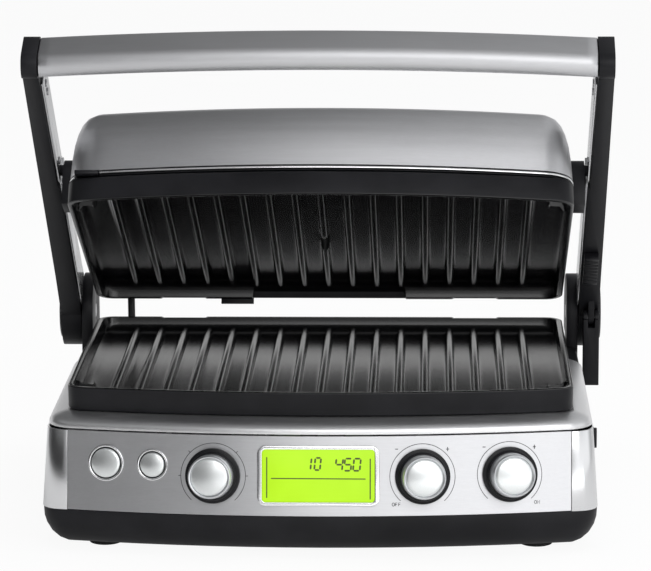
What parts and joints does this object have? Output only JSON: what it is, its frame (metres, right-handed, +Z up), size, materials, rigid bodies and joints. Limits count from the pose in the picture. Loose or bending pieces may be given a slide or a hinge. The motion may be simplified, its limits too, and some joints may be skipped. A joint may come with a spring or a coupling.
{
  "type": "electric indoor grill with lid",
  "caption": "Contact grill with a floating hinged lid on two arms and a handle bar, ribbed removable plates, a drip tray and a front panel with knobs, buttons and a display.",
  "frame": {"origin": "on the table, under the middle of the whole grill with its lid raised as in the picture", "axes": "+X to the right as seen from the control panel, +Y to the back, +Z up"},
  "size_m": [0.3918, 0.3275, 0.3438],
  "materials": {
    "black_plastic": "satin black moulded plastic with a fine grain",
    "rubber": "matt black rubber",
    "brushed_steel": "brushed stainless steel, grain running left to right",
    "polished_steel": "polished stainless steel",
    "sheet_steel": "plain zinc-plated sheet steel",
    "screw_steel": "plated screw steel",
    "pin_steel": "ground steel",
    "plate_coating": "cast aluminium with a satin black non-stick coating",
    "reflector": "bright aluminium sheet",
    "element_steel": "heat-tinted steel tube",
    "probe_metal": "bare metal thermostat can",
    "pearl_silver": "pearl silver lacquer",
    "lcd_lens": "clear window over a lime backlight with dark segments",
    "dark_parts": "moulded electrical parts",
    "circuit": "green solder mask",
    "conduit": "braided dark sleeve"
  },
  "bodies": {
    "base": {"lower_tub": "black_plastic", "feet": "rubber", "case_screws": "screw_steel", "side_wraps": "polished_steel", "rear_housing": "black_plastic", "chassis_pan": "sheet_steel", "control_panel": "brushed_steel", "steel_ledge": "polished_steel", "lower_reflector": "reflector", "lower_element": "element_steel", "lower_thermostat": "probe_metal", "display_bezel": "polished_steel", "display_lens": "lcd_lens", "display_module": "dark_parts", "button_rings": "polished_steel", "knob_collars": "black_plastic", "encoder_bodies": "dark_parts", "button_switches": "dark_parts", "control_board": "circuit", "power_board": "circuit", "power_parts": "dark_parts", "cord_gland": "rubber", "tray_rails": "sheet_steel", "hinge_towers": "black_plastic", "hinge_pins": "pin_steel", "wire_conduit": "conduit"},
    "arms": {"left_arm": "black_plastic", "right_arm": "black_plastic", "left_arm_cover": "polished_steel", "right_arm_cover": "polished_steel", "arm_screws": "screw_steel", "hinge_discs": "black_plastic", "pivot_pins": "pin_steel", "handle_bar": "brushed_steel", "lever_pin": "pin_steel"},
    "lid": {"lid_frame": "black_plastic", "lid_ears": "black_plastic", "lid_trim": "polished_steel", "lid_cover": "brushed_steel", "upper_reflector": "reflector", "upper_element": "element_steel", "upper_thermostat": "probe_metal"},
    "upper_plate_body": {"upper_plate": "plate_coating"},
    "lower_plate_body": {"lower_plate": "plate_coating"},
    "tray": {"drip_tray": "black_plastic"},
    "start_push": {"start_button": "pearl_silver"},
    "sear_push": {"sear_button": "pearl_silver"},
    "select_dial": {"select_knob": "polished_steel", "select_cap": "pearl_silver", "select_shaft": "pin_steel"},
    "temp_dial": {"temp_knob": "polished_steel", "temp_cap": "pearl_silver", "temp_shaft": "pin_steel"},
    "time_dial": {"time_knob": "polished_steel", "time_cap": "pearl_silver", "time_shaft": "pin_steel"},
    "lower_catch": {"lower_release": "black_plastic"},
    "upper_catch": {"upper_release": "black_plastic"},
    "lever": {"flat_lever": "black_plastic"},
    "slider": {"height_slider": "black_plastic"}
  },
  "joints": [
    {"name": "lid_hinge", "type": "hinge", "parent": "base", "child": "arms", "pos_m": [0, 0.1385, 0.108], "axis": [-1, 0, 0], "range_deg": [-27.6, 153], "deforming": ["wire_conduit"]},
    {"name": "lid_float", "type": "hinge", "parent": "arms", "child": "lid", "pos_m": [0, -0.0022, 0.23117], "axis": [1, 0, 0], "range_deg": [0, 9]},
    {"name": "upper_plate_out", "type": "slide", "parent": "lid", "child": "upper_plate_body", "axis": [0, -0.8854, 0.4648], "range_m": [0, 0.2]},
    {"name": "lower_plate_out", "type": "slide", "parent": "base", "child": "lower_plate_body", "axis": [0, -0.9397, 0.342], "range_m": [0, 0.25]},
    {"name": "tray_out", "type": "slide", "parent": "base", "child": "tray", "axis": [0, -1, 0], "range_m": [-0.05, 0]},
    {"name": "select_turn", "type": "hinge", "parent": "base", "child": "select_dial", "pos_m": [-0.069, -0.14071, 0.05484], "axis": [-0.0836, -0.979, 0.1858], "range_deg": [-135, 45]},
    {"name": "temp_turn", "type": "hinge", "parent": "base", "child": "temp_dial", "pos_m": [0.068, -0.1408, 0.05484], "axis": [0.0824, -0.9791, 0.1858], "continuous": true},
    {"name": "time_turn", "type": "hinge", "parent": "base", "child": "time_dial", "pos_m": [0.125, -0.13396, 0.05484], "axis": [0.1515, -0.9711, 0.1843], "continuous": true},
    {"name": "start_press", "type": "slide", "parent": "base", "child": "start_push", "axis": [0.1697, 0.9682, -0.1837], "range_m": [0, 0.0016], "stiffness_N_per_m": 900},
    {"name": "sear_press", "type": "slide", "parent": "base", "child": "sear_push", "axis": [0.1321, 0.9739, -0.1848], "range_m": [0, 0.0016], "stiffness_N_per_m": 900},
    {"name": "lower_catch_press", "type": "slide", "parent": "base", "child": "lower_catch", "axis": [-1, 0, 0], "range_m": [0, 0.002], "stiffness_N_per_m": 900},
    {"name": "upper_catch_press", "type": "slide", "parent": "lid", "child": "upper_catch", "axis": [0, 0.8854, -0.4648], "range_m": [0, 0.002], "stiffness_N_per_m": 900},
    {"name": "lever_pull", "type": "hinge", "parent": "arms", "child": "lever", "pos_m": [0.1881, 0.1045, 0.1102], "axis": [-1, 0, 0], "range_deg": [0, 14], "stiffness_Nm_per_rad": 0.05},
    {"name": "slider_move", "type": "slide", "parent": "arms", "child": "slider", "axis": [0, -0.7524, 0.6587], "range_m": [0, 0.012]}
  ]
}
